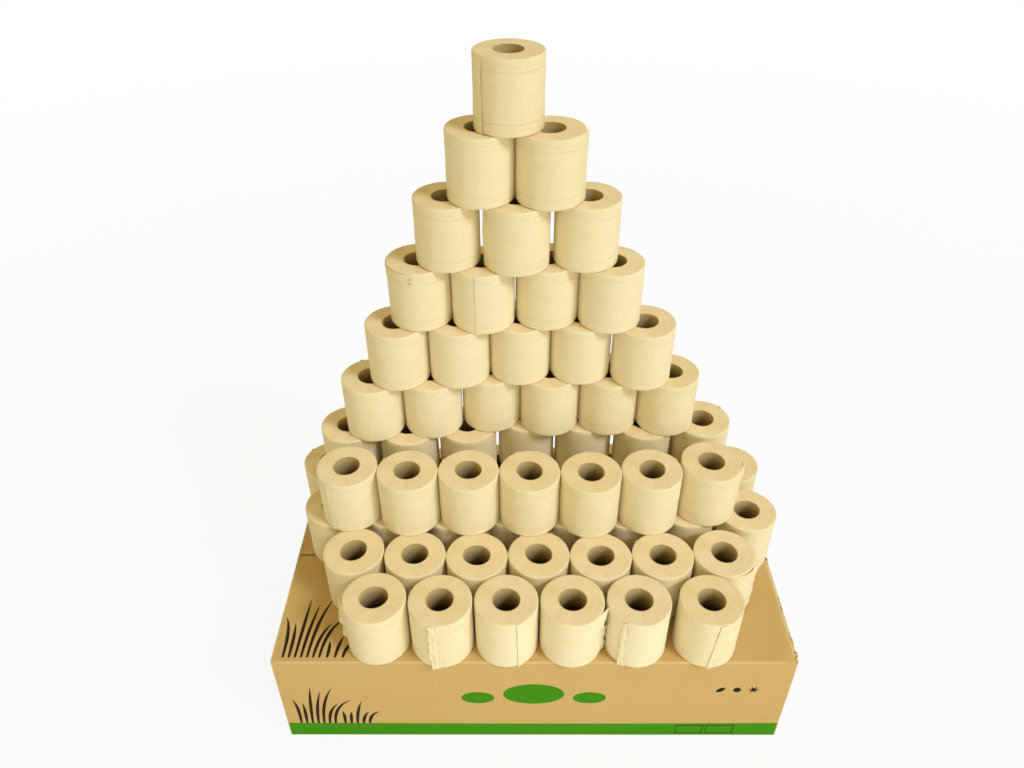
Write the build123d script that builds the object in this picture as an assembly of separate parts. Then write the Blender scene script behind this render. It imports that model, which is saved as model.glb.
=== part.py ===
from build123d import *
import os
from dataclasses import dataclass
from math import sqrt

# Sixty-four bare toilet rolls, built up in steps on the closed carton that they were shipped in.
# Millimetres, +Z up. The origin is the middle of the carton's base; the front is towards -Y.

# One roll: turns of paper on a cardboard core, sawn off flush at both ends.
roll_diameter = 96.0
roll_height = 100.0
tail_step = 0.6  # the loose end of the last turn stands this far over the turn below it
core_bore = 41.0
core_wall = 1.0
core_clearance = 0.1  # on the radius, between the core and the first turn

# The carton: one folded sheet of corrugated board that holds the rolls standing up, in two layers.
board = 3.0
packed_along = 8
packed_across = 4
packed_up = 2
slack_along = 28.0
slack_across = 36.0
squeeze = 4.0  # the packed rolls are pressed this much shorter when the flaps close over them
fold_radius = 2.5  # of the outside of a fold
flap_slot = 2.0  # between the two long flaps at the top; those at the bottom meet under their tape

# The stack. A gap is the clear space between neighbours in a row.
front_overhang = 9.0  # the front row stands out over the carton's front fold
nesting_gap = 5.5  # between the front row and the second, which stands in its hollows
aisle = 6.5  # between the second row and the lower step
step_set_forward = 17.0  # of the upper step over the lower one
wall_aisle = 9.5  # between the lower step and the wall
wall_lean = 2.0  # each level of the wall stands this much further back
wall_levels = 8
shared_levels = 4  # the lowest levels of the wall are one node each

roll_radius = roll_diameter / 2
core_radius = core_bore / 2 + core_wall
carton_length = packed_along * roll_diameter + slack_along + 2 * board
carton_depth = packed_across * roll_diameter + slack_across + 2 * board
carton_height = packed_up * roll_height - squeeze + 2 * board


@dataclass
class Row:
    """Rolls side by side, from left to right. back and aside are each roll's own distance from its place."""

    name: str
    rolls: int
    level: int  # 0 stands on the carton
    middle: float  # x of the row's middle
    gap: float
    depth: float  # y of the row
    shared: bool = False  # one node for the whole row
    back: tuple = ()
    aside: tuple = ()

    def places(self):
        pitch = roll_diameter + self.gap
        for i in range(self.rolls):
            x = self.middle + (i - (self.rolls - 1) / 2) * pitch + (self.aside[i] if self.aside else 0)
            y = self.depth + (self.back[i] if self.back else 0)
            yield Pos(x, y, carton_height + self.level * roll_height) * Rot(Z=tail_turn * i + tail_start)


# Where the loose ends face: each one is turned on from the roll before it.
tail_start = 200.0
tail_turn = 137.5

front_gap = 2.5
front_pitch = roll_diameter + front_gap
nested = sqrt((roll_diameter + nesting_gap) ** 2 - (front_pitch / 2) ** 2)
front_depth = -carton_depth / 2 + roll_radius - front_overhang
second_depth = front_depth + nested
step_depth = second_depth + roll_diameter + aisle
wall_depth = step_depth + roll_diameter + wall_aisle

# The wall is one roll deep. Each level has a roll less than the one below and stands in its hollows.
wall_middles = (-2, -10, -20, -21, -29, -26, -29, -37)
wall_gaps = (4.5, 2.8, 0.5, 0.4, 0.7, 5.5, 1.0, 0)
wall_backs = (
    (10, 0, -6, 4, -4, 5, 0, 0),
    (-12, -18, -12, 16, 12, -4, 2),
    (-14, -6, 10, 0, 2, 0),
    (-10, -4, 5, 6, -9),
    (5, -2, 8, -1),
    (5, -6, 5),
    (1, -4),
    (1,),
)

rows = [
    Row("front_roll", 6, 0, 7, front_gap, front_depth, back=(4, 0, 0, 0, 0, 0), aside=(0, 0, 0, 0, 0, 9)),
    Row("second_roll", 7, 0, 8, 1.0, second_depth, back=(7, 0, -3, 0, -4, -2, 3)),
    Row("lower_step_roll", 8, 0, 12, 1.8, step_depth, back=(6, 0, -2, 3, 0, -2, 2, -7)),
    Row("upper_step_roll", 7, 1, -6, 0.6, step_depth - step_set_forward, back=(8, -2, -1, -3, -6, 0, 19)),
]
for level in range(wall_levels):
    rows.append(
        Row(
            f"wall_level_{level + 1}_roll",
            wall_levels - level,
            level,
            wall_middles[level],
            wall_gaps[level],
            wall_depth + level * wall_lean,
            shared=level < shared_levels,
            back=wall_backs[level],
        )
    )


def paper():
    """The turns of one roll. The last turn is a spiral of two half circles, so its loose end makes a step."""
    inner_end = roll_radius - tail_step
    lower_radius = roll_radius - tail_step / 2
    outline = [
        ThreePointArc((roll_radius, 0), (0, roll_radius), (-roll_radius, 0)),
        ThreePointArc((-roll_radius, 0), (-tail_step / 2, -lower_radius), (inner_end, 0)),
        Line((inner_end, 0), (roll_radius, 0)),
    ]
    turns = extrude(make_face(outline), roll_height)
    return turns - upright_cylinder(core_radius + core_clearance)


def core():
    """The cardboard tube that the paper is wound on."""
    return upright_cylinder(core_radius) - upright_cylinder(core_bore / 2)


def upright_cylinder(radius):
    return Cylinder(radius, roll_height, align=(Align.CENTER, Align.CENTER, Align.MIN))


def standing_box(length, depth, height, base=0.0, x=0.0):
    """A block centred over the carton's middle line, with its underside at base."""
    return Pos(x, 0, base) * Box(length, depth, height, align=(Align.CENTER, Align.CENTER, Align.MIN))


def carton():
    """A closed slotted carton. The short flaps lie under the long ones, which meet along the middle."""
    outside = standing_box(carton_length, carton_depth, carton_height)
    upright_folds = outside.edges().filter_by(Axis.Z)
    long_folds = outside.edges().filter_by(Axis.X)
    inner_length = carton_length - 2 * board
    inner_depth = carton_depth - 2 * board
    body = fillet(upright_folds + long_folds, fold_radius)
    body -= standing_box(inner_length, inner_depth, carton_height - 2 * board, board)
    short_flap = inner_depth / 2
    for side in (-1, 1):
        middle = side * (inner_length - short_flap) / 2
        for underside in (board, carton_height - 2 * board):
            body += standing_box(short_flap, inner_depth, board, underside, middle)
    return body - standing_box(carton_length, flap_slot, board, carton_height - board)


def write(name, solids):
    shape = solids[0] if len(solids) == 1 else Compound(children=solids)
    export_step(shape, f"parts/{name}.step")


os.makedirs("parts", exist_ok=True)
write("carton", [carton()])
one_paper = paper()
one_core = core()
for row in rows:
    places = list(row.places())
    papers = [place * one_paper for place in places]
    if row.shared:
        write(row.name + "s", papers)
    else:
        for number, turns in enumerate(papers, 1):
            write(f"{row.name}_{number}" if row.rolls > 1 else row.name, [turns])
    write(row.name.replace("_roll", "_cores"), [place * one_core for place in places])
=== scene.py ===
# %% [markdown]
# # Bare toilet rolls, stacked on the carton that they came in
# Sixty-four rolls of unbleached bamboo tissue stand on their closed kraft carton: two short rows at the
# front, a step two rolls high, and a wall that narrows from eight rolls to one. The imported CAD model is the
# frame. It says where every roll, core and board face is, and this script gives each of them its looks.
# We load it first, so that every size below can be read from it and nothing has to be placed by eye.

import math
import random
from dataclasses import dataclass

import bmesh
import bpy
from mathutils import Matrix, Vector, noise


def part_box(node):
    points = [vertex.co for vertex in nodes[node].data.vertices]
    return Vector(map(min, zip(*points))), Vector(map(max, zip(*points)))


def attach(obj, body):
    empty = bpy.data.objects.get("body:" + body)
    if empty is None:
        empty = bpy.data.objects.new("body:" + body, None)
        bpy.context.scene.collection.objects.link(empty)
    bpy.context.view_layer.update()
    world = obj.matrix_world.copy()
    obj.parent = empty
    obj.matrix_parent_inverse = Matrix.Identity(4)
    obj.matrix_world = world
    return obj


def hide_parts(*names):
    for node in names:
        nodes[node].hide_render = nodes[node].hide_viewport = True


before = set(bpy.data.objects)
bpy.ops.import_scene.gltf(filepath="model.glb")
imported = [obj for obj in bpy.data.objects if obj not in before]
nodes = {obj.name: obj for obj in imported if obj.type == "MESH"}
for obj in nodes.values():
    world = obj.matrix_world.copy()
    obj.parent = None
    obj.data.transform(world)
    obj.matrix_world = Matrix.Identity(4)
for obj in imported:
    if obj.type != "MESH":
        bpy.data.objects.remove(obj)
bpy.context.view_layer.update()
MM = 0.001
random.seed(64)

# %% [markdown]
# ## Colours and nodes
# Colours are chosen as the hex codes of a paint program, which are sRGB. Blender's shaders count in linear
# light, so one function turns a code into linear numbers. A second one adds a shader node, sets it up and
# links it in one go, which keeps each material readable from top to bottom. A finish is built up like
# paint: a ground colour and thin coats over it, each where a mask lets it through. A mask is a number from
# 0 to 1 at every point, and masks that have to hold together are multiplied.


# %% Helpers for materials
def linear(code):
    """An sRGB hex code as a linear colour with full alpha."""
    channels = [int(code[i : i + 2], 16) / 255 for i in (0, 2, 4)]
    return [c / 12.92 if c <= 0.04045 else ((c + 0.055) / 1.055) ** 2.4 for c in channels] + [1]


def add_node(tree, kind, inputs=(), out=0, **settings):
    """Adds a shader node and gives one of its outputs, from whose .node the others can be had.
    inputs are values or other nodes' outputs, in the order of the sockets or by key."""
    node = tree.nodes.new("ShaderNode" + kind)
    for name, value in settings.items():
        setattr(node, name, value)
    for key, value in inputs.items() if isinstance(inputs, dict) else enumerate(inputs):
        if isinstance(value, bpy.types.NodeSocket):
            tree.links.new(value, node.inputs[key])
        else:
            node.inputs[key].default_value = value
    return node.outputs[out]


def new_material(name, **shader_inputs):
    """A material with one Principled shader. Underscores in the inputs' names stand for spaces."""
    material = bpy.data.materials.new(name)
    material.use_nodes = True
    shader = material.node_tree.nodes["Principled BSDF"]
    for key, value in shader_inputs.items():
        shader.inputs[key.replace("_", " ")].default_value = value
    return material, material.node_tree, shader


print("white is", linear("FFFFFF"))

# %% Coats, masks and relief
# A Mix node has sockets for numbers, for vectors and for colours. These are the ones for colours.
MIX_FACTOR, MIX_A, MIX_B, MIX_RESULT = 0, 6, 7, 2


def coats(tree, colour, *layers):
    """Colours laid over each other, as hex codes or sockets. Each layer is (mask, colour)."""
    for mask, coat in layers:
        under, over = [linear(c) if isinstance(c, str) else c for c in (colour, coat)]
        inputs = {MIX_FACTOR: mask, MIX_A: under, MIX_B: over}
        colour = add_node(tree, "Mix", inputs, MIX_RESULT, data_type="RGBA")
    return colour


def overlap(tree, mask, *others):
    """The product of masks. A plain number among them makes the mask weaker."""
    for other in others:
        mask = add_node(tree, "Math", (mask, other), operation="MULTIPLY")
    return mask


def dress(tree, shader, colour, relief, strength, depth_mm):
    """Gives the shader its colour, and a relief that is depth_mm deep from 0 to 1."""
    bump = add_node(tree, "Bump", {"Height": relief, "Strength": strength, "Distance": depth_mm * MM})
    tree.links.new(colour, shader.inputs["Base Color"])
    tree.links.new(bump, shader.inputs["Normal"])


print("a Mix node gives its colour at output", MIX_RESULT)

# %% [markdown]
# ## Tissue, seen from the side
# Unbleached bamboo tissue is matt, slightly see-through paper of a pale straw colour. Its surface is creped
# and pressed between rollers, so it has a fine grain, shallow level lines that are painted darker as their
# shade, most of all towards the ends, and near the edge a row of crimp marks that holds the plies together.
# The pattern has to follow each roll, so every roll carries its own coordinates: the attribute on_roll
# holds the place of a point in millimetres from the foot of the roll's axis. Noise on those has no seam.


# %% The pattern's coordinates
def roll_coordinates(tree):
    """The point on its roll in mm, its height, its distance from the axis and its angle in radians."""
    point = add_node(tree, "Attribute", out="Vector", attribute_name="on_roll")
    x, y, height = add_node(tree, "SeparateXYZ", [point]).node.outputs
    flat = add_node(tree, "CombineXYZ", (x, y))
    radius = add_node(tree, "VectorMath", [flat], "Value", operation="LENGTH")
    angle = add_node(tree, "Math", (y, x), operation="ARCTAN2")
    return point, height, radius, angle


def noise_on(tree, vector, stretch, size_mm, detail=2.0, roughness=0.5):
    """Noise whose grain is size_mm wide, times stretch along each axis."""
    scale = [1 / (size_mm * s) for s in stretch]
    mapped = add_node(tree, "Mapping", {"Vector": vector, "Scale": scale})
    inputs = {"Vector": mapped, "Scale": 1.0, "Detail": detail, "Roughness": roughness}
    return add_node(tree, "TexNoise", inputs, "Fac")


def tissue_colour(tree, pale, deep, point):
    """Cloudy paper, a little different from roll to roll."""
    clouds = noise_on(tree, point, (1, 1, 1.6), 24, 3)
    tint = add_node(tree, "Attribute", out="Fac", attribute_name="roll_tint")
    return coats(tree, pale, (overlap(tree, clouds, tint), deep))


print("a point's height on its roll runs from 0 to about 100 mm")

# %% The wall's colour
CREPE_MM = 2.2  # real crepe is about 0.4 mm, which is too fine to show, so it is drawn five times as coarse
LEVEL_LINE_MM = 3.2
MID_HEIGHT_MM = 50.0
LINE_SHADE_FAINT_MM, LINE_SHADE_FULL_MM = 26.0, 42.0  # the level lines' painted shade grows stronger between these distances from the middle
RING_MM, RING_HALF_WIDTH_MM = 33.0, 0.7  # a thin line of painted shade above and below the middle, for a pressed line

tissue_wall, tree, shader = new_material(
    "bamboo_tissue_creped", Roughness=0.92, Sheen_Weight=0.15, Specular_IOR_Level=0.25
)
point, height, _, angle = roll_coordinates(tree)
level_lines = noise_on(tree, point, (14, 14, 1), LEVEL_LINE_MM, 3, 0.6)
off_middle = add_node(tree, "Math", (height, MID_HEIGHT_MM), operation="SUBTRACT")
from_middle = add_node(tree, "Math", [off_middle], operation="ABSOLUTE")
line_shade_towards_ends = add_node(tree, "MapRange", (from_middle, LINE_SHADE_FAINT_MM, LINE_SHADE_FULL_MM, 0.35, 1.0))
# painted shade: the level lines are painted darker, as their relief would be shaded, and more so towards the
# ends
painted_line_shade = add_node(tree, "MapRange", (level_lines, 0.5, 0.68, 0.0, 0.32))
painted_line_shade = overlap(tree, painted_line_shade, line_shade_towards_ends)
# painted shade: a thin darker line above and below the middle, stronger on some rolls than on others
ring_inputs = (from_middle, RING_MM, RING_HALF_WIDTH_MM)
painted_ring_shade = add_node(tree, "Math", ring_inputs, operation="COMPARE")
tint = add_node(tree, "Attribute", out="Fac", attribute_name="roll_tint")
clearness = add_node(tree, "Math", (tint, 0.9, -0.25), operation="MULTIPLY_ADD")
painted_ring_shade = overlap(tree, painted_ring_shade, level_lines, clearness)
painted_line_shade = add_node(tree, "Math", (painted_line_shade, painted_ring_shade), operation="MAXIMUM")
crepe = noise_on(tree, point, (1, 1, 0.8), CREPE_MM, 3)
grain = add_node(tree, "MapRange", (crepe, 0.4, 0.75, 0.0, 0.22))
paper = tissue_colour(tree, "F6EACA", "EFDEAF", point)
# D6BE86 is the painted shade of the level lines and the thin lines
colour = coats(tree, paper, (painted_line_shade, "D6BE86"), (grain, "DCC48E"))
print("a roll has thin rings", 2 * RING_MM, "mm apart")

# %% The wall's relief
CRIMPS_ROUND = 100  # one every 3 mm round the roll
CRIMP_HEIGHT_MM = 11.0
CRIMP_BAND_MM = 5.0

waves = add_node(tree, "Math", (angle, CRIMPS_ROUND), operation="MULTIPLY")
strike = add_node(tree, "Math", [waves], operation="SINE")
band_inputs = (height, CRIMP_HEIGHT_MM, CRIMP_BAND_MM)
in_band = add_node(tree, "Math", band_inputs, operation="COMPARE")
crimp_depth = add_node(tree, "Attribute", out="Fac", attribute_name="roll_crimp")
crimps = overlap(tree, strike, in_band, crimp_depth)
relief = add_node(tree, "Math", (level_lines, 1.6, crepe), operation="MULTIPLY_ADD")
relief = add_node(tree, "Math", (crimps, 0.7, relief), operation="MULTIPLY_ADD")
dress(tree, shader, colour, relief, 0.55, 0.5)
print("made", tissue_wall.name)

# %% [markdown]
# ## Tissue, seen from the end
# The ends of a roll are cut with a saw, so we look at the edges of some hundred turns. Light sinks in
# between them and comes out warmer, so the ends are a shade more orange than the walls. Rings of uneven
# width run round the axis: noise that reads the distance from the axis draws them. The saw has dragged
# fibres outwards, in faint rays, and left fluff behind.

# %% The sawn end of a roll
TURN_MM = 1.3  # several turns together: one alone is 0.25 mm and would not show
RING_BREAKS = 1.5  # how fast a ring changes in strength on its way round
FLUFF_MM = 1.8

tissue_end, tree, shader = new_material(
    "bamboo_tissue_sawn_end", Roughness=0.97, Sheen_Weight=0.2, Specular_IOR_Level=0.15
)
point, _, radius, angle = roll_coordinates(tree)
way_round = add_node(tree, "Math", (angle, RING_BREAKS), operation="MULTIPLY")
along = add_node(tree, "CombineXYZ", (radius, way_round))
turns = noise_on(tree, along, (1, 1, 1), TURN_MM, 3, 0.65)
rings = add_node(tree, "MapRange", (turns, 0.35, 0.7, 0.0, 0.3))
towards = add_node(tree, "VectorMath", [point], operation="NORMALIZE")
drag = noise_on(tree, towards, (1, 1, 100), 0.35, 3)
dragged = add_node(tree, "MapRange", (drag, 0.42, 0.68, 0.0, 0.5))
fluff = noise_on(tree, point, (1, 1, 1), FLUFF_MM, 2, 0.7)
flecks = add_node(tree, "MapRange", (fluff, 0.6, 0.72, 0.0, 0.6))
paper = tissue_colour(tree, "F8E7C4", "F2D9AA", point)
colour = coats(tree, paper, (rings, "DDBC82"), (dragged, "E3C68E"), (flecks, "FCF3DC"))
relief = add_node(tree, "Math", (fluff, 0.6, turns), operation="MULTIPLY_ADD")
dress(tree, shader, colour, relief, 0.5, 0.5)
print("made", tissue_end.name)

# %% [markdown]
# ## Core board
# A core is wound from two strips of grey-brown recycled board, glued on a slant. What the eye catches is
# the thin dark seam that climbs the inside as a screw line, and a dull, slightly fibrous brown. The board is
# painted paler near its mouth and darker further down: painted shade, for the light that doesn't reach in.

# %% The inside of a core
SEAM_RISE_MM = 92.0  # the strip's seam climbs this much in one turn
SEAM_WIDTH_MM = 1.2
SEAM_STRENGTH = 0.6
# painted shade: full below the first height, none above the second
PAINTED_SHADE_FULL_BELOW_MM, PAINTED_SHADE_NONE_ABOVE_MM = 58.0, 94.0
CORE_FIBRE_MM = 1.5

core_board, tree, shader = new_material(
    "core_greyboard_spiral_wound", Roughness=0.85, Specular_IOR_Level=0.3
)
point, height, _, angle = roll_coordinates(tree)
climb_inputs = (angle, SEAM_RISE_MM / (2 * math.pi), height)
climb = add_node(tree, "Math", climb_inputs, operation="MULTIPLY_ADD")
from_seam = add_node(tree, "Math", (climb, SEAM_RISE_MM / 2), operation="PINGPONG")
seam = add_node(tree, "Math", (from_seam, SEAM_WIDTH_MM / 2), operation="LESS_THAN")
fibres = noise_on(tree, point, (1, 1, 5), CORE_FIBRE_MM, 3)
# painted shade: the board darkens from the mouth down the tube to the colour called inside, where less light
# gets in
deep = add_node(tree, "MapRange", (height, PAINTED_SHADE_FULL_BELOW_MM, PAINTED_SHADE_NONE_ABOVE_MM, 1.0, 0.0))
mouth = coats(tree, "C8AE78", (fibres, "DCC593"))
inside = coats(tree, "523C16", (fibres, "665022"))
colour = coats(tree, mouth, (deep, inside), (overlap(tree, seam, SEAM_STRENGTH), "4A3822"))
dress(tree, shader, colour, fibres, 0.3, 0.3)
print("made", core_board.name)

# %% [markdown]
# ## Finding the rolls
# Each row's cores are one CAD node of separate tubes. They stand well apart, so sorting the node's points
# from left to right and starting a new tube at every wide gap gives the axis of each roll. That is simpler
# than walking through the mesh, and it keeps the places where the CAD model has them.

# %% The axis of every roll
FREE_SPACE = 20 * MM  # wider than the steps between a tube's points, narrower than the space between tubes


@dataclass
class Place:
    row: str
    number: int
    foot: Vector  # the lower end of the roll's axis


def tube_spans(node):
    """The points of a row's core node, parted into one list per tube, from left to right."""
    points = sorted((v.co.copy() for v in node.data.vertices), key=lambda p: p.x)
    spans = [[points[0]]]
    for before, after in zip(points, points[1:]):
        if after.x - before.x > FREE_SPACE:
            spans.append([])
        spans[-1].append(after)
    return spans


places = []
for name in sorted(nodes):
    if name.endswith("_cores"):
        row = name.removesuffix("_cores")
        for number, span in enumerate(tube_spans(nodes[name]), 1):
            middle = [(min(p[k] for p in span) + max(p[k] for p in span)) / 2 for k in (0, 1)]
            foot = Vector((*middle, min(p.z for p in span)))
            places.append(Place(row, number, foot))

tube_low, tube_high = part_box("wall_level_8_cores")
roll_low, roll_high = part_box("wall_level_8_roll")
ROLL_HEIGHT = (roll_high.z - roll_low.z) / MM
TUBE_OUTSIDE = (tube_high.x - tube_low.x) / 2 / MM
ROLL_RADIUS = round((roll_high.x - roll_low.x) / 2 / MM)
print(len(places), "rolls of radius", ROLL_RADIUS, "mm and height", round(ROLL_HEIGHT), "mm")

# %% [markdown]
# ## The loose end of a roll
# The last sheet ends somewhere on each roll. Mostly it lies flat and shows as a line. On some rolls it
# lifts off, is torn, or is folded over. A few numbers describe all of these, and a roll without an entry
# gets an end on its far side, where it would be turned away from the buyer.
# facing is the angle from the front in degrees, to the right if positive; hand says to which side the end
# points; reach is how much of the sheet is free, and lift how far its edge stands off. Lengths are in mm.


# %% Which roll has which loose end
@dataclass
class Tail:
    facing: float
    hand: int = 1
    reach: float = 7.0
    lift: float = 0.5
    ragged: float = 0.15  # how uneven the torn edge is, as a share of reach
    slant: float = 0.0  # degrees that the end leans over the roll's height
    low: float = 0.0  # where the free part starts and ends, above the roll's foot
    high: float = 100.0
    crumple: float = 0.15


tails = {
    ("wall_level_8", 1): Tail(-46, 1, 28, 1.3, 0.03, crumple=0.5),
    ("wall_level_7", 2): Tail(86, 1, 14, 3.0, 0.12),
    ("wall_level_6", 2): Tail(-80, -1, 12, 2.5, 0.1),
    ("wall_level_5", 1): Tail(-4, 1, 100, 2.2, 0.08, low=80, high=98.6, crumple=0.6),
    ("wall_level_5", 2): Tail(-12, -1, 4, 0.4, 0.05),
    ("wall_level_4", 5): Tail(12, 1, 4, 0.3, 0.05),
    ("upper_step", 1): Tail(-34, -1, 6, 1.1, 0.12, crumple=0.4),
    ("upper_step", 7): Tail(92, 1, 22, 7.0, 0.25, low=22, crumple=0.8),
    ("second", 7): Tail(82, 1, 60, 9.0, 0.2, low=6, high=97, crumple=1.0),
    ("front", 1): Tail(-98, -1, 24, 8.0, 0.55, low=24, crumple=1.0),
    ("front", 2): Tail(-19, -1, 15, 3.4, 0.22, low=-2, high=99, crumple=2.0),
    ("front", 3): Tail(20, -1, 8, 1.3, 0.08, slant=-3, crumple=0.6),
    ("front", 4): Tail(80, 1, 21, 7.0, 0.5, low=8, high=99, crumple=2.4),
    ("front", 5): Tail(-37, -1, 11, 3.4, 0.16, low=-1.5, high=99, crumple=1.3),
    ("front", 6): Tail(1, -1, 9, 0.9, 0.08, slant=10, high=99, crumple=0.9),
}
print(len(tails), "loose ends are described,", len(places) - len(tails), "are left to chance")

# %% [markdown]
# ## Winding a roll
# A roll is a thick ring, so we draw the outline of its wall once, as a closed loop of points from the bore
# over the upper end and down the outside, and spin it round the axis. Spinning gives even columns of
# faces, which we then push into shape: the radius shrinks by one sheet over the turn, which leaves a step
# where the paper ends; soft dents and an oval core come from smooth formulas. Where two rolls stand side
# by side, both are brought to the line midway between their axes, so they meet and don't overlap.

# %% The outline of a roll's wall
COLUMNS = 96
RIM = 1.8  # the sawn edge is rubbed round by this much
TAIL_STEP = 0.6
TISSUE = 0.3  # thickness of a free sheet of three plies
BORE = TUBE_OUTSIDE + 0.1
NEAR_RIM = (5, 8, 11, 14, 17, 20)  # heights of the wall's rows of points, which are close near both ends
ROWS = [*NEAR_RIM, *range(28, 79, 9), *(ROLL_HEIGHT - h for h in reversed(NEAR_RIM))]


def wall_outline():
    """(radius, height) round the wall's section, in mm."""
    end_radii = [BORE + (ROLL_RADIUS - RIM - BORE) * i / 5 for i in range(1, 5)]
    rim_turns = [math.radians(a) for a in (0, 30, 60, 90)]
    upper_rim = [(math.sin(a), math.cos(a)) for a in rim_turns]
    outline = [(BORE, 0), (BORE, ROLL_HEIGHT / 2), (BORE, ROLL_HEIGHT)]
    outline += [(r, ROLL_HEIGHT) for r in end_radii]
    outline += [(ROLL_RADIUS - RIM + RIM * s, ROLL_HEIGHT - RIM + RIM * c) for s, c in upper_rim]
    outline += [(ROLL_RADIUS, height) for height in reversed(ROWS)]
    outline += [(ROLL_RADIUS - RIM + RIM * s, RIM - RIM * c) for s, c in reversed(upper_rim)]
    return outline + [(r, 0) for r in reversed(end_radii[1::2])]


def spin_outline(outline, columns):
    """A closed body from a closed outline of (radius, height)."""
    bm = bmesh.new()
    corners = [bm.verts.new((r, 0, z)) for r, z in outline]
    edges = [bm.edges.new(pair) for pair in zip(corners, corners[1:] + corners[:1])]
    around = {"cent": (0, 0, 0), "axis": (0, 0, 1), "angle": 2 * math.pi, "steps": columns}
    bmesh.ops.spin(bm, geom=corners + edges, use_merge=True, **around)
    bmesh.ops.remove_doubles(bm, verts=bm.verts, dist=0.001)
    return bm


outline_points = len(wall_outline())
print("the outline has", outline_points, "points, so a roll has", outline_points * COLUMNS, "faces")

# %% [markdown]
# The shaping works in the roll's own round coordinates: angle, radius and height. The last column is moved
# right up to the first one, which makes the step at the paper's end sharp. The core's oval is kept in the
# character of the roll, because the tube has to follow it as well.


# %% What makes a roll its own
@dataclass
class Character:
    """What makes one roll differ from the next."""

    tail: Tail
    seed: Vector
    oval: float  # the core's, in mm
    oval_turn: float
    flat: float  # how much the outside is pressed in, in mm
    flat_turn: float
    touches: list  # (direction, distance) of every spot where a neighbour touches


def smooth(low, high, value):
    """0 below low, 1 above high, and an S-curve between them."""
    t = min(max((value - low) / (high - low), 0), 1)
    return t * t * (3 - 2 * t)


def core_radius(radius, angle, character):
    return radius + character.oval * math.cos(2 * (angle - character.oval_turn))


print("the S-curve is", smooth(0, 1, 0.25), "a quarter of the way")

# %% Its radius and height
SWELL = 0.15  # paper springs out by this much
GROOVE, GROOVE_HEIGHT, GROOVE_HALF_WIDTH = 0.45, 14, 4  # a ring near each end, from the winder's rollers
DENT, DENT_TALL, DENTS_CLOSE = 0.5, 45, 1.4  # the soft dents' depth, their height, and how close they come
WAVE, HOLLOW = 0.5, 0.4  # how wavy the ends are, and how far they sink halfway between core and rim


def shaped_radius(radius, angle, height, character):
    """The radius after winding and handling. angle runs from 0 at the loose end to a full turn."""
    outness = (radius - BORE) / (ROLL_RADIUS - BORE)
    if outness < 0.01:
        return core_radius(radius, angle, character)
    step = TAIL_STEP * angle / (2 * math.pi) * smooth(0.9, 1, outness)
    pressed = character.flat * (1 - math.cos(2 * (angle - character.flat_turn))) / 2
    spot = Vector((math.cos(angle), math.sin(angle), height / DENT_TALL)) * DENTS_CLOSE + character.seed
    dents = DENT * (noise.noise(spot) - 0.1)
    from_end = min(height, ROLL_HEIGHT - height)
    in_groove = 1 - smooth(0, GROOVE_HALF_WIDTH, abs(from_end - GROOVE_HEIGHT))
    groove = GROOVE * in_groove * smooth(0.95, 1, outness)
    inner = core_radius(0, angle, character) * (1 - outness) ** 2
    return radius + inner + outness * (SWELL - max(pressed + dents, 0)) - step - groove


def shaped_height(radius, angle, height, character):
    """The ends are a little hollow and wavy."""
    spot = Vector((math.cos(angle), math.sin(angle), radius / 30)) + character.seed
    halfway = math.sin(math.pi * (radius - BORE) / (ROLL_RADIUS - BORE))
    sunk = WAVE * (noise.noise(spot) + 0.5) + HOLLOW * halfway
    edge = smooth(ROLL_HEIGHT / 2, ROLL_HEIGHT, height)
    return height - max(sunk, 0) * edge


print("a roll's wall has dents up to about", DENT, "mm deep")

# %% Directions
LAST_GAP = 0.15  # from the last column of points to the first, which is the width of the step


def on_column(angle):
    """Moves the columns of a spun roll apart evenly, with the last one right beside the first."""
    spacing = 2 * math.pi / COLUMNS
    column = round(angle / spacing) % COLUMNS
    if column == COLUMNS - 1:
        return 2 * math.pi - LAST_GAP / ROLL_RADIUS
    return column * 2 * math.pi / (COLUMNS - 1)


def to_azimuth(angle, height, tail):
    """Turns an angle on the roll to its direction in plan, so that the free edge faces where it should."""
    edge = math.radians(270 + tail.facing + tail.slant * (height / ROLL_HEIGHT - 0.5))
    return edge - tail.hand * (angle + tail.reach / ROLL_RADIUS)


print("a roll's last column stands", LAST_GAP, "mm from its first")

# %% Pushing a roll into shape
CLOSE = 1.2  # neighbours with less space than this between them are pressed against each other
PRESSED_HALF = math.radians(17)  # half the width of the strip where they touch


def find_touches(place):
    """The directions in which the roll touches others, each with half the distance between the two axes."""
    touches = []
    for other in places:
        away = (other.foot - place.foot) / MM
        if 1 < away.length < 2 * ROLL_RADIUS + CLOSE and abs(away.z) < 1:
            touches.append((math.atan2(away.y, away.x), away.length / 2))
    return touches


def pressed_out(new_radius, radius, azimuth, touches):
    """Brings the wall exactly to the line where a neighbour is met."""
    for direction, distance in touches:
        off = abs((azimuth - direction + math.pi) % (2 * math.pi) - math.pi)
        weight = 1 - smooth(0, PRESSED_HALF, off)
        new_radius += weight * (distance + radius - ROLL_RADIUS - new_radius)
    return new_radius


def shape_roll(bm, character):
    for v in bm.verts:
        radius, height = math.hypot(v.co.x, v.co.y), v.co.z
        angle = on_column(math.atan2(v.co.y, v.co.x) % (2 * math.pi))
        azimuth = to_azimuth(angle, height, character.tail)
        new_radius = shaped_radius(radius, angle, height, character)
        if radius > ROLL_RADIUS - RIM - 0.1:
            new_radius = pressed_out(new_radius, radius, azimuth, character.touches)
        new_height = shaped_height(radius, angle, height, character)
        v.co = (new_radius * math.cos(azimuth), new_radius * math.sin(azimuth), new_height)


print(sum(bool(find_touches(place)) for place in places), "rolls touch one beside them")

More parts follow.
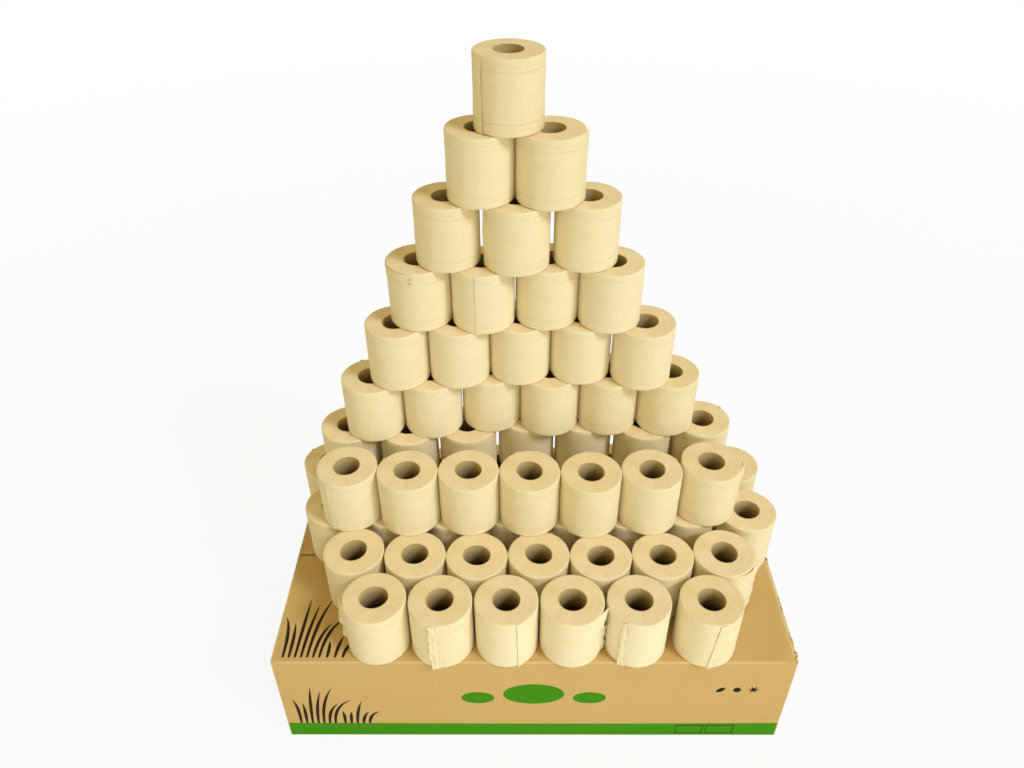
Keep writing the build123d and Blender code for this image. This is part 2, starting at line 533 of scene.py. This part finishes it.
# %% [markdown]
# ## The free end of the sheet
# Where the end lifts off, it is a thin sheet of its own: a grid that continues the last turn beyond the
# step. Its far edge is torn along a noise curve, and it bends away from the roll almost with the square of
# the distance, as paper does that has taken the roll's curve. Solidify gives it two sides.

# %% Adding the free end
FLAP_COLUMNS = 10
FLAP_ROWS = 26
CLEAR = 0.05  # the sheet's space from the turn below
TEARS = 7  # how many times the torn edge goes in and out over the roll's height
CURLS, CREASES = 2.2, 9  # the same for how it lifts and how it is crumpled
BEND = 1.8  # the power with which the sheet bends away


def thicken(bm, thickness):
    """Gives sheets a second side, behind the one that their faces look away from."""
    bm.normal_update()
    bmesh.ops.solidify(bm, geom=bm.faces[:], thickness=thickness)


def free_end(character):
    bm = bmesh.new()
    tail, seed = character.tail, character.seed
    made = bmesh.ops.create_grid(bm, x_segments=FLAP_COLUMNS, y_segments=FLAP_ROWS, size=1)["verts"]
    for v in made:
        along, up = (v.co.x + 1) / 2, (v.co.y + 1) / 2
        tear = noise.fractal(Vector((up * TEARS, 0, 0)) + seed, 0.8, 2.1, 4)
        distance = tail.reach * along * (1 - tail.ragged * (0.5 + tear))
        height = tail.low + up * (tail.high - tail.low)
        curl = 0.75 + 0.5 * noise.noise(Vector((up * CURLS, 3, 0)) + seed)
        folds = noise.noise(Vector((along * 2.5, up * CREASES, 5)) + seed)
        crease = tail.crumple * folds * smooth(0, 0.3, along)
        angle = -distance / ROLL_RADIUS
        base = shaped_radius(ROLL_RADIUS, 0, height, character)
        radius = base + CLEAR + tail.lift * curl * along**BEND + crease
        azimuth = to_azimuth(angle, height, tail)
        v.co = (radius * math.cos(azimuth), radius * math.sin(azimuth), height)
    if tail.hand < 0:
        bmesh.ops.reverse_faces(bm, faces=bm.faces[:])
    thicken(bm, TISSUE)
    return bm


print("a free end is a grid of", FLAP_COLUMNS, "by", FLAP_ROWS, "cells")

# %% [markdown]
# ## From a shaped body to a piece
# Every point gets the attributes that the materials read, before the roll is moved to its place. Faces
# that look straight up or down on the ends take the sawn finish, all others the wall's. Smooth shading with
# sharp edges where faces meet steeply keeps the rim crisp and the wall round.

# %% Attributes and finish
WALL, END = 0, 1
END_SLOPE = 0.8  # a face whose normal has more than this of the vertical in it belongs to an end


def mark_points(bm, tint, crimp):
    on_roll = bm.verts.layers.float_vector.new("on_roll")
    roll_tint = bm.verts.layers.float.new("roll_tint")
    roll_crimp = bm.verts.layers.float.new("roll_crimp")
    for v in bm.verts:
        v[on_roll] = v.co
        v[roll_tint] = tint
        v[roll_crimp] = crimp


def face_outwards(bm):
    """For one closed body: its volume is negative when it is inside out."""
    bmesh.ops.recalc_face_normals(bm, faces=bm.faces)
    if bm.calc_volume(signed=True) < 0:
        bmesh.ops.reverse_faces(bm, faces=bm.faces[:])


def mark_faces(bm):
    bm.normal_update()
    for face in bm.faces:
        face.smooth = True
        face.material_index = END if abs(face.normal.z) > END_SLOPE else WALL


print("ends begin at a slope of", round(math.degrees(math.acos(END_SLOPE))), "degrees")


# %% The finished piece
def to_place(bm, foot=(0, 0, 0)):
    """From millimetres about a foot point to metres in the row frame."""
    bmesh.ops.transform(bm, matrix=Matrix.Translation(foot) @ Matrix.Scale(MM, 4), verts=bm.verts)


def collect(parts):
    """Several bodies as one."""
    whole = bmesh.new()
    for part in parts:
        mesh = bpy.data.meshes.new("part")
        part.to_mesh(mesh)
        part.free()
        whole.from_mesh(mesh)
        bpy.data.meshes.remove(mesh)
    return whole


def finish_piece(bm, name, materials, replaced, crease_degrees=35):
    """Turns a bmesh into a piece of the object, riding on the root body in place of its CAD node."""
    mesh = bpy.data.meshes.new(name)
    bm.to_mesh(mesh)
    bm.free()
    for material in materials:
        mesh.materials.append(material)
    mesh.set_sharp_from_angle(angle=math.radians(crease_degrees))
    piece = bpy.data.objects.new(name, mesh)
    bpy.context.scene.collection.objects.link(piece)
    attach(piece, "root")
    if replaced:
        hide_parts(*replaced)
    return piece


# %% [markdown]
# ## All the rolls
# Now the loop over the places. Rolls that share a CAD node in the lower wall become one piece with separate
# bodies, as they are there. The cores of a row are one piece too.

# %% Winding one roll and one core
CORE_COLUMNS = 64
CORE_WALL = 1.0
CORE_SUNK = 0.3  # the core ends this far below the paper
LIP_IN, LIP_UP = 0.3, 0.2  # the core's cut edge is rounded by this much
FACING_BACK = (115, 245)  # degrees
MOST_OVAL, MOST_FLAT = 0.9, 0.2
TINTS = (0.3, 1.1)  # from a pale roll to a deep one
CRIMPED_ROLL = ("wall_level_6", 2)  # the one whose crimp marks can be seen clearly
CRIMPS_CLEAR, CRIMPS_FAINT = 1.0, 0.15


def some_character(place):
    tail = tails.get((place.row, place.number))
    tail = tail or Tail(random.uniform(*FACING_BACK), random.choice((-1, 1)))
    seed = Vector([random.uniform(-50, 50) for _ in range(3)])
    oval, flat = random.uniform(0.0, MOST_OVAL), random.uniform(0.0, MOST_FLAT)
    turns = random.uniform(0, math.pi), random.uniform(0, math.pi)
    return Character(tail, seed, oval, turns[0], flat, turns[1], find_touches(place))


def wound_roll(place, character):
    bm = spin_outline(wall_outline(), COLUMNS)
    shape_roll(bm, character)
    face_outwards(bm)
    bm = collect([bm, free_end(character)])
    crimp = CRIMPS_CLEAR if (place.row, place.number) == CRIMPED_ROLL else CRIMPS_FAINT
    mark_points(bm, random.uniform(*TINTS), crimp)
    mark_faces(bm)
    to_place(bm, place.foot)
    return bm


def wound_core(place, character):
    inside = TUBE_OUTSIDE - CORE_WALL
    top = ROLL_HEIGHT - CORE_SUNK
    lip = [(inside, top), (inside + LIP_IN, top + LIP_UP), (TUBE_OUTSIDE - LIP_IN, top + LIP_UP)]
    outline = [(TUBE_OUTSIDE, 0), (inside, 0), (inside, ROLL_HEIGHT / 2), *lip, (TUBE_OUTSIDE, top)]
    bm = spin_outline(outline, CORE_COLUMNS)
    for v in bm.verts:
        angle = math.atan2(v.co.y, v.co.x) % (2 * math.pi)
        radius = core_radius(math.hypot(v.co.x, v.co.y), angle, character)
        azimuth = to_azimuth(angle, 0, character.tail)
        v.co = (radius * math.cos(azimuth), radius * math.sin(azimuth), v.co.z)
    face_outwards(bm)
    mark_points(bm, 0.5, 0.0)
    mark_faces(bm)
    for face in bm.faces:
        face.material_index = 0
    to_place(bm, place.foot)
    return bm


print("cores have", CORE_COLUMNS, "columns of faces")

# %% Wind all of them
papers, cores = {}, {}
for place in places:
    character = some_character(place)
    single = f"{place.row}_roll_{place.number}"
    node = next(n for n in (single, f"{place.row}_rolls", f"{place.row}_roll") if n in nodes)
    papers.setdefault(node, []).append(wound_roll(place, character))
    cores.setdefault(f"{place.row}_cores", []).append(wound_core(place, character))

for node, parts in papers.items():
    finish_piece(collect(parts), f"tissue_{node}", [tissue_wall, tissue_end], [node])
for node, parts in cores.items():
    finish_piece(collect(parts), f"board_{node}", [core_board], [node])
print(len(papers), "pieces of tissue and", len(cores), "of core board")

# %% [markdown]
# ## Kraft board
# The carton is corrugated board: two liners of brown kraft paper with a wavy sheet glued between them. The
# liner is matt and mottled with fibres, and the flutes underneath show through as faint stripes that run up
# the walls and on over the flaps. Folds are painted paler, a highlight on their round and some rubbing.
# The green band is printed straight on the liner, so the stripes and fibres show in the ink too.
# The carton's pattern reads Object coordinates, turned into millimetres by one Mapping node.

# %% Sizes of the carton
board_low, board_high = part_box("carton")
LENGTH, DEPTH, HEIGHT = [(b - a) / MM for a, b in zip(board_low, board_high)]
BOARD = 3.0
SLOT = 2.0  # between the two long flaps
SLOT_LIP, SLOT_SHADE = 1.6, 0.2  # how far out the slot's edges are pale, and how far past its edges the slot's painted shade reaches
SCUFF = 3.5  # the flaps' right ends are rubbed pale about this far in
TORN = 2.5  # and the liner has holes this far in
BAND = 37.0  # the printed band reaches this high
FLUTE_MM = 6.5  # real pitch of a B flute
FIBRE_MM = 1.6
CLOUD_MM = 70
print("the carton is", round(LENGTH), "x", round(DEPTH), "x", round(HEIGHT), "mm")


# %% Where the flutes and the folds are
def millimetres(tree):
    """The point in mm, and its coordinates one by one."""
    place = add_node(tree, "TexCoord", out="Object")
    place = add_node(tree, "Mapping", {"Vector": place, "Scale": [1 / MM] * 3})
    return place, add_node(tree, "SeparateXYZ", [place]).node.outputs


def flutes(tree, x, y):
    """-1 to 1 across each flute: along X on the long walls and the flaps, along Y on the end walls."""
    facing = add_node(tree, "NewGeometry", out="Normal")
    facing_x = add_node(tree, "SeparateXYZ", [facing])
    sideways = add_node(tree, "Math", [facing_x], operation="ABSOLUTE")
    on_end = add_node(tree, "Math", (sideways, 0.7), operation="GREATER_THAN")
    along = add_node(tree, "Mix", {"Factor": on_end, "A": x, "B": y}, data_type="FLOAT")
    waves = add_node(tree, "Math", (along, 2 * math.pi / FLUTE_MM), operation="MULTIPLY")
    return add_node(tree, "Math", [waves], operation="SINE")


def depth_inside(tree, coordinate, half):
    """How far a point lies inside the two faces that are half away from the middle."""
    off_middle = add_node(tree, "Math", [coordinate], operation="ABSOLUTE")
    return add_node(tree, "Math", (half, off_middle), operation="SUBTRACT")


def near_fold(tree, x, y, z):
    """The distance in mm to the nearest fold. A point on a face is 0 from that face, so the second smallest
    of its distances to the faces is the one to the next fold."""
    across = depth_inside(tree, x, LENGTH / 2)
    deep = depth_inside(tree, y, DEPTH / 2)
    from_mid_height = add_node(tree, "Math", (z, HEIGHT / 2), operation="SUBTRACT")
    up = depth_inside(tree, from_mid_height, HEIGHT / 2)
    larger = add_node(tree, "Math", (across, deep), operation="MAXIMUM")
    smaller = add_node(tree, "Math", (across, deep), operation="MINIMUM")
    next_one = add_node(tree, "Math", (larger, up), operation="MINIMUM")
    return add_node(tree, "Math", (smaller, next_one), operation="MAXIMUM")


print("there are about", round(LENGTH / FLUTE_MM), "flutes along the carton")

# %% The board and its printed band
kraft_board, tree, shader = new_material("kraft_board_fluted", Roughness=0.82, Specular_IOR_Level=0.15)
place, (x, y, z) = millimetres(tree)
fibres = noise_on(tree, place, (1, 1, 1), FIBRE_MM, 4, 0.7)
clouds = noise_on(tree, place, (1, 1, 1), CLOUD_MM, 3)
flute = flutes(tree, x, y)
specks = add_node(tree, "MapRange", (fibres, 0.35, 0.7, 0.0, 0.55))
stripe = add_node(tree, "MapRange", (flute, -1.0, 1.0, 0.0, 0.05))
board = coats(tree, "DBBA80", (clouds, "D2AF72"), (specks, "BC9658"), (stripe, "A87A42"))
band_edge = add_node(tree, "Math", (fibres, 0.5, BAND), operation="MULTIPLY_ADD")
in_band = add_node(tree, "Math", (z, band_edge), operation="LESS_THAN")
ink = coats(tree, "469406", (specks, "3A8203"), (stripe, "2E6A04"))
colour = coats(tree, board, (in_band, ink))
print("the band is", BAND, "mm high")

# %% Folds with a painted highlight, the scuffed right end, and the slot with painted shade
# painted highlight: the board is paler near every fold, where the rounded fold catches light, and a little
# rubbed
fold = near_fold(tree, x, y, z)
ruffled = add_node(tree, "Math", (fibres, -3.0, fold), operation="MULTIPLY_ADD")
fold_highlight_and_rub = add_node(tree, "MapRange", (ruffled, -1.2, 1.8, 0.6, 0.0))

from_end = add_node(tree, "Math", (LENGTH / 2, x), operation="SUBTRACT")
frayed = add_node(tree, "Math", (fibres, -3.0, from_end), operation="MULTIPLY_ADD")
near_end = add_node(tree, "Math", (frayed, SCUFF), operation="LESS_THAN")
on_flap = add_node(tree, "Math", (z, HEIGHT - BOARD), operation="GREATER_THAN")
scuffed = overlap(tree, near_end, on_flap)
gaps = noise_on(tree, place, (1, 3, 1), 5.0, 3, 0.7)
holes = add_node(tree, "Math", (gaps, 0.6), operation="GREATER_THAN")
at_end = add_node(tree, "Math", (from_end, TORN), operation="LESS_THAN")
torn = overlap(tree, holes, scuffed, at_end)

from_slot = add_node(tree, "Math", [y], operation="ABSOLUTE")
high_up = add_node(tree, "Math", (z, HEIGHT - 2 * BOARD), operation="GREATER_THAN")
lip = add_node(tree, "Math", (from_slot, SLOT / 2 + SLOT_LIP), operation="LESS_THAN")
in_slot_shade = add_node(tree, "Math", (from_slot, SLOT / 2 + SLOT_SHADE), operation="LESS_THAN")

colour = coats(tree, colour, (fold_highlight_and_rub, "E2C592"), (overlap(tree, scuffed, 0.7), "E8CE9E"), (torn, "6B4A26"))
# painted shade: the slot and a hair past its edges are painted dark brown, for the shade down between the
# flaps
pale_lip, painted_slot_shade = overlap(tree, lip, high_up, 0.6), overlap(tree, in_slot_shade, high_up)
colour = coats(tree, colour, (pale_lip, "E2C592"), (painted_slot_shade, "4A3318"))
relief = add_node(tree, "Math", (flute, 0.2, fibres), operation="MULTIPLY_ADD")
dress(tree, shader, colour, relief, 0.3, 0.4)
print("made", kraft_board.name)


# %% The two inks
def ink_material(name, main, thin):
    """Flexographic ink: it sinks into the liner, so fibres and flutes show through."""
    material, tree, shader = new_material(name, Roughness=0.8, Specular_IOR_Level=0.15)
    place, (x, y, _) = millimetres(tree)
    fibres = noise_on(tree, place, (1, 1, 1), FIBRE_MM, 4, 0.7)
    patchy = add_node(tree, "Math", (flutes(tree, x, y), 0.12, fibres), operation="MULTIPLY_ADD")
    dress(tree, shader, coats(tree, main, (patchy, thin)), fibres, 0.35, 0.4)
    return material


green_ink = ink_material("flexo_ink_green", "469406", "3A8203")
dark_ink = ink_material("flexo_ink_dark", "1E150C", "372819")
print("made", green_ink.name, "and", dark_ink.name)

# %% [markdown]
# ## The carton
# The CAD solid has the folds, the flaps' slot and the right sizes, but a used carton isn't flat: its walls
# belly out a little, and one corner has been knocked in. A copy of the CAD mesh is cut by planes into cells
# small enough to bend, and one function, worn, moves every point. The print is moved by the same function,
# so it stays on the board.

# %% Cutting
CELL, FINE = 25.0, 6.0
JOINT = HEIGHT - BOARD  # the height at which the flaps lie on the ones below


def steps(low, high, size):
    count = max(round((high - low) / size), 1)
    return [low + (high - low) * i / count for i in range(1, count)]


# Planes across X, Y and Z. They are closest round the knocked corner, and two more lie at the flaps' joint.
CUTS = {
    0: steps(-LENGTH / 2, LENGTH / 2 - 70, CELL) + steps(LENGTH / 2 - 71, LENGTH / 2 - 4, FINE),
    1: steps(-DEPTH / 2 + 4, -DEPTH / 2 + 60, FINE) + steps(-DEPTH / 2 + 60, DEPTH / 2, CELL),
    2: steps(0, HEIGHT - 60, CELL) + steps(HEIGHT - 61, HEIGHT - 8, FINE) + [JOINT - 0.8, JOINT],
}


def cut_to_cells(bm):
    """Cuts a body by planes, in mm, so that it can bend."""
    for axis, distances in CUTS.items():
        normal = Vector([float(k == axis) for k in range(3)])
        for distance in distances:
            everything = bm.verts[:] + bm.edges[:] + bm.faces[:]
            at = normal * distance
            bmesh.ops.bisect_plane(bm, geom=everything, dist=1e-4, plane_co=at, plane_no=normal)


print(sum(len(distances) for distances in CUTS.values()), "planes cut the carton")

# %% Wearing
CORNER = Vector((LENGTH / 2, -DEPTH / 2, HEIGHT))
KNOCKED = 34  # the corner is pushed in up to this far from its tip
BELLY, END_BELLY = 2.0, 1.2  # how far the long walls and the end walls stand out
WRINKLE, WRINKLE_SIZE = 3, 9


def worn(p):
    """Where a point of the new carton lies on the used one, in mm."""
    x, y, z = p
    rise = math.sin(math.pi * min(max(z / HEIGHT, 0), 1))
    belly = BELLY * rise * math.cos(math.pi * x / LENGTH)
    end_belly = END_BELLY * rise * math.cos(math.pi * y / DEPTH)
    moved = Vector((x, y + belly * smooth(0.9, 1, abs(y) / (DEPTH / 2)) * math.copysign(1, y), z))
    moved.x += end_belly * smooth(0.95, 1, abs(x) / (LENGTH / 2)) * math.copysign(1, x)
    knocked = 1 - smooth(0, KNOCKED, (Vector(p) - CORNER).length)
    wrinkle = noise.noise(Vector(p) / WRINKLE_SIZE) * WRINKLE
    moved += Vector((0.5 + wrinkle, 2 + wrinkle, -4 - 1.5 * wrinkle)) * knocked
    along_edge = smooth(0, 8, 12 - abs(x - LENGTH / 2)) * smooth(HEIGHT - 14, HEIGHT, z)
    moved.z -= along_edge * (0.6 + 1.2 * noise.noise(Vector((3, y / 17, 0))))
    at_joint = 1 - smooth(0, 0.7, abs(z - JOINT))
    if abs(x) > LENGTH / 2 - 0.5:
        moved.x -= math.copysign(1.2 * at_joint, x)
    return moved


print("the knocked corner's tip moves by", round((worn(CORNER) - CORNER).length, 1), "mm")

# %% The used carton
bm = bmesh.new()
bm.from_mesh(nodes["carton"].data)
bmesh.ops.transform(bm, matrix=Matrix.Scale(1 / MM, 4), verts=bm.verts)
bmesh.ops.remove_doubles(bm, verts=bm.verts, dist=0.01)
bmesh.ops.dissolve_limit(bm, angle_limit=math.radians(1), verts=bm.verts, edges=bm.edges)
cut_to_cells(bm)
face_outwards(bm)
for v in bm.verts:
    v.co = worn(v.co)
for face in bm.faces:
    face.smooth = True
print("the carton has", len(bm.faces), "faces")
to_place(bm)
finish_piece(bm, "carton_board", [kraft_board], ["carton"])

# %% [markdown]
# ## The print on the board
# Beside the band the carton is decorated in one pass of green and one of dark brown. Ours is a plain
# design: three ovals, tufts of grass, a row of three small signs and two empty frames for a label. Each
# shape starts as a circle or a grid, is laid on the front or the top in millimetres, gets a thickness of
# less than half a millimetre, and is cut and worn like the board that it lies on.

# %% Round shapes
INK = 0.2  # how far the ink stands out, and how deep its underside lies in the board


def on_front(u, v):
    return Vector((u, -DEPTH / 2 - INK, v))


def on_top(u, v):
    return Vector((u, v, HEIGHT + INK))


def lay(bm, verts, surface, turn, at):
    """Puts a flat shape's points on a face of the carton."""
    for v in verts:
        u, w = (Matrix.Rotation(math.radians(turn), 2) @ v.co.xy) + Vector(at)
        v.co = surface(u, w)


def disc(bm, surface, at, width, height, turn=0.0, pointed=False):
    """An oval, or with pointed a leaf."""
    made = bmesh.ops.create_circle(bm, cap_ends=True, segments=40, radius=1)["verts"]
    for v in made:
        side = v.co.y * (math.sqrt(max(1 - v.co.x**2, 0)) if pointed else 1)
        v.co = (v.co.x * width / 2, side * height / 2, 0)
    lay(bm, made, surface, turn, at)


print("the print stands out by", INK, "mm")

# %% Lines and grass
BLADE, BLADE_STEP = 5.2, 8.0  # a blade's width at its foot, and the space from one blade to the next


def stroke(bm, surface, start, middle, end, thick, thin, blade=False):
    """A curved line from start to end, pulled towards middle. A blade is widest a third of the way."""
    made = bmesh.ops.create_grid(bm, x_segments=20, y_segments=1, size=1)["verts"]
    start, middle, end = Vector(start), Vector(middle), Vector(end)
    for v in made:
        t = (v.co.x + 1) / 2
        place = start * (1 - t) ** 2 + middle * 2 * t * (1 - t) + end * t**2
        ahead = ((middle - start) * (1 - t) + (end - middle) * t).normalized()
        wide = thin + (thick - thin) * (math.sin(math.pi * (0.2 + 0.8 * t)) if blade else 1 - t)
        v.co = surface(*(place + Vector((-ahead.y, ahead.x)) * v.co.y * wide / 2))


def frame_line(bm, surface, low, high, width):
    """The outline of an empty rectangle."""
    corners = [Vector(low), Vector((high[0], low[1])), Vector(high), Vector((low[0], high[1]))]
    for a, b in zip(corners, corners[1:] + corners[:1]):
        reach = (b - a).normalized() * width / 2
        stroke(bm, surface, a - reach, (a + b) / 2, b + reach, width, width)


def tuft(bm, surface, foot, size, blades, lean):
    """A tuft of grass: blades side by side that bend over, all a little to the right by lean."""
    for i in range(blades):
        side = 2 * i / (blades - 1) - 1
        start = Vector(foot) + Vector((side * blades * BLADE_STEP / 2, 0))
        long = size * (1 - 0.3 * abs(side) - 0.25 * (i % 2))
        middle = start + Vector((lean * 0.2, 0.6)) * long
        tip = start + Vector((side * 0.22 + lean, 1 - 0.2 * abs(side))) * long
        stroke(bm, surface, start, middle, tip, BLADE, 0.4, blade=True)


def printed(bm, name, material):
    thicken(bm, 2 * INK)
    cut_to_cells(bm)
    for v in bm.verts:
        v.co = worn(v.co)
    to_place(bm)
    print(name, "has", len(bm.faces), "faces")
    return finish_piece(bm, name, [material], [])


# %% Green shapes
bm = bmesh.new()
for at, width, height in (((0, 122), 96, 52), ((-88, 112), 52, 30), ((88, 112), 52, 30)):
    disc(bm, on_front, at, width, height)
printed(bm, "print_green_ovals", green_ink)

# %% Dark shapes
SIGNS_X, SIGNS_Z, SIGN_STEP = 318, 132, 26
bm = bmesh.new()
tuft(bm, on_front, (-350, BAND), 118, 7, 0.16)
tuft(bm, on_front, (-286, BAND), 62, 5, 0.2)
tuft(bm, on_top, (-356, -204), 132, 7, 0.12)
tuft(bm, on_top, (-304, -204), 52, 3, 0.2)
disc(bm, on_front, (SIGNS_X - SIGN_STEP, SIGNS_Z), 18, 9, 40, pointed=True)
disc(bm, on_front, (SIGNS_X, SIGNS_Z), 12, 12)
for turn in (0, 60, 120):
    disc(bm, on_front, (SIGNS_X + SIGN_STEP, SIGNS_Z), 17, 4, turn, pointed=True)
frame_line(bm, on_front, (235, 8), (278, 31), 1.2)
frame_line(bm, on_front, (284, 8), (328, 31), 1.2)
printed(bm, "print_dark_grass", dark_ink)

# %% [markdown]
# ## A frayed edge
# The flaps' cut edge along the right end has been scuffed on the way: the outer liner has torn loose in a
# few places and stands up as small ragged tongues. Each is a short grid of paper that follows the edge.

# %% Torn liner along the right edge
LINER = 0.35  # its thickness
TORN_FRONT = ((-212, -190, 8.0), (-186, -160, 5.0), (-120, -96, 3.0))  # from Y, to Y, and how tall
TORN_BACK = ((-28, 4, 4.0), (52, 96, 5.5), (168, 205, 6.0))
bm = bmesh.new()
for start, end, tall in TORN_FRONT + TORN_BACK:
    made = bmesh.ops.create_grid(bm, x_segments=14, y_segments=4, size=1)["verts"]
    for v in made:
        along, up = (v.co.x + 1) / 2, (v.co.y + 1) / 2
        y = start + (end - start) * along
        ragged = math.sin(math.pi * along) * (0.55 + noise.fractal(Vector((y / 6, 2, 0)), 0.7, 2.2, 4))
        reach = tall * up * max(ragged, 0.05)
        x = LENGTH / 2 - 1.2 + reach * 0.45 + 0.8 * up * noise.noise(Vector((y / 5, 9, up)))
        v.co = worn((x, y, HEIGHT - 1.0)) + Vector((0, 0, 0.4 + reach * 0.8))
thicken(bm, LINER)
to_place(bm)
finish_piece(bm, "carton_torn_liner", [kraft_board], [])
print(len(TORN_FRONT + TORN_BACK), "torn places")

# %% [markdown]
# ## Floor, light and camera
# The object stands in a plain studio. The floor shows nearly white to the camera near the object, so that a
# soft shadow stays, and goes over to full white further out, where it would otherwise end in a line. The
# light that it throws back comes from its pale colour. A broad sun at the right front gives the rolls their
# shading from right to left, a low panel lifts their fronts, and the world fills in from all round.


# %% White for the camera
def seen_directly(tree):
    """1 for rays from the camera, from gloss and from glass, 0 for the light's own."""
    path = add_node(tree, "LightPath").node.outputs
    seen = path["Is Camera Ray"]
    for way in ("Is Glossy Ray", "Is Transmission Ray"):
        seen = add_node(tree, "Math", (seen, path[way]), operation="MAXIMUM")
    return seen


FLOOR_HALF = 40.0
SHADOW_TO, WHITE_FROM = 1.2, 4.0  # metres from the object's middle
floor_paint, tree, shader = new_material("studio_floor_paint", Roughness=0.9)
shader.inputs["Base Color"].default_value = linear("EDEAE4")
white = add_node(tree, "Emission", {"Color": linear("FFFFFF"), "Strength": 1.0})
point = add_node(tree, "TexCoord", out="Object")
distance = add_node(tree, "VectorMath", [point], "Value", operation="LENGTH")
whiteness = add_node(tree, "MapRange", (distance, SHADOW_TO, WHITE_FROM, 0.9, 1.0))
factor = overlap(tree, seen_directly(tree), whiteness)
both = add_node(tree, "MixShader", (factor, shader.outputs[0], white))
tree.links.new(both, tree.nodes["Material Output"].inputs["Surface"])
print("made", floor_paint.name)

# %% The floor
bm = bmesh.new()
bmesh.ops.create_grid(bm, x_segments=1, y_segments=1, size=FLOOR_HALF)
mesh = bpy.data.meshes.new("studio_floor")
bm.to_mesh(mesh)
bm.free()
mesh.materials.append(floor_paint)
floor = bpy.data.objects.new("studio_floor", mesh)
bpy.context.scene.collection.objects.link(floor)
print("the floor is", 2 * FLOOR_HALF, "m wide")

# %% World and lamps
WORLD_LIGHT, WORLD_COLOUR = 0.56, (1.0, 0.88, 0.46, 1)
SUN_LIGHT, SUN_COLOUR, SUN_WIDTH = 1.65, (0.81, 0.89, 1.0), 16  # degrees wide, for soft shadows
SUN_FROM = Vector((0.6, -0.43, 0.68))
PANEL_WATTS, PANEL_COLOUR, PANEL_SIZE = 4.2, (0.82, 0.92, 1.0), 0.8
PANEL_AT, PANEL_AIM = Vector((0.3, -1.4, 0.5)), Vector((0, 0, 0.32))
scene = bpy.context.scene
world = scene.world or bpy.data.worlds.new("studio")
scene.world = world
world.use_nodes = True
tree = world.node_tree
tree.nodes.clear()
light = add_node(tree, "Background", {"Color": WORLD_COLOUR, "Strength": WORLD_LIGHT})
white = add_node(tree, "Background", {"Color": linear("FFFFFF"), "Strength": 1.0})
both = add_node(tree, "MixShader", (seen_directly(tree), light, white))
tree.links.new(both, tree.nodes.new("ShaderNodeOutputWorld").inputs["Surface"])


def add_lamp(name, kind, energy, colour, at, aim):
    """A lamp at one point that shines towards another."""
    lamp = bpy.data.lights.new(name, kind)
    lamp.energy = energy
    lamp.color = colour
    holder = bpy.data.objects.new(name, lamp)
    holder.location = at
    holder.rotation_euler = (at - aim).to_track_quat("Z", "Y").to_euler()
    scene.collection.objects.link(holder)
    return lamp, holder


sun, _ = add_lamp("broad_lamp", "SUN", SUN_LIGHT, SUN_COLOUR, SUN_FROM, Vector())
sun.angle = math.radians(SUN_WIDTH)
panel, panel_holder = add_lamp("low_front_panel", "AREA", PANEL_WATTS, PANEL_COLOUR, PANEL_AT, PANEL_AIM)
panel.size = PANEL_SIZE
panel_holder.visible_camera = False
print("world", WORLD_LIGHT, "sun", SUN_LIGHT, "and panel", PANEL_WATTS)

# %% Camera
LENS_MM = 29.4
CAMERA_AT = (-0.0298, -0.9680, 1.3036)
PITCH_DOWN, YAW, ROLL = 37.14, 0.22, -0.16

camera = bpy.data.cameras.new("camera")
camera.lens = LENS_MM
camera.sensor_width = 36.0
camera_object = bpy.data.objects.new("camera", camera)
tilt = Matrix.Rotation(math.radians(90 - PITCH_DOWN), 4, "X")
turn = Matrix.Rotation(math.radians(YAW), 4, "Z")
twist = Matrix.Rotation(math.radians(ROLL), 4, "Z")
camera_object.matrix_world = Matrix.Translation(CAMERA_AT) @ turn @ tilt @ twist
scene.collection.objects.link(camera_object)
scene.camera = camera_object
scene.view_settings.view_transform = "Standard"
print("lens", LENS_MM, "mm at", CAMERA_AT)
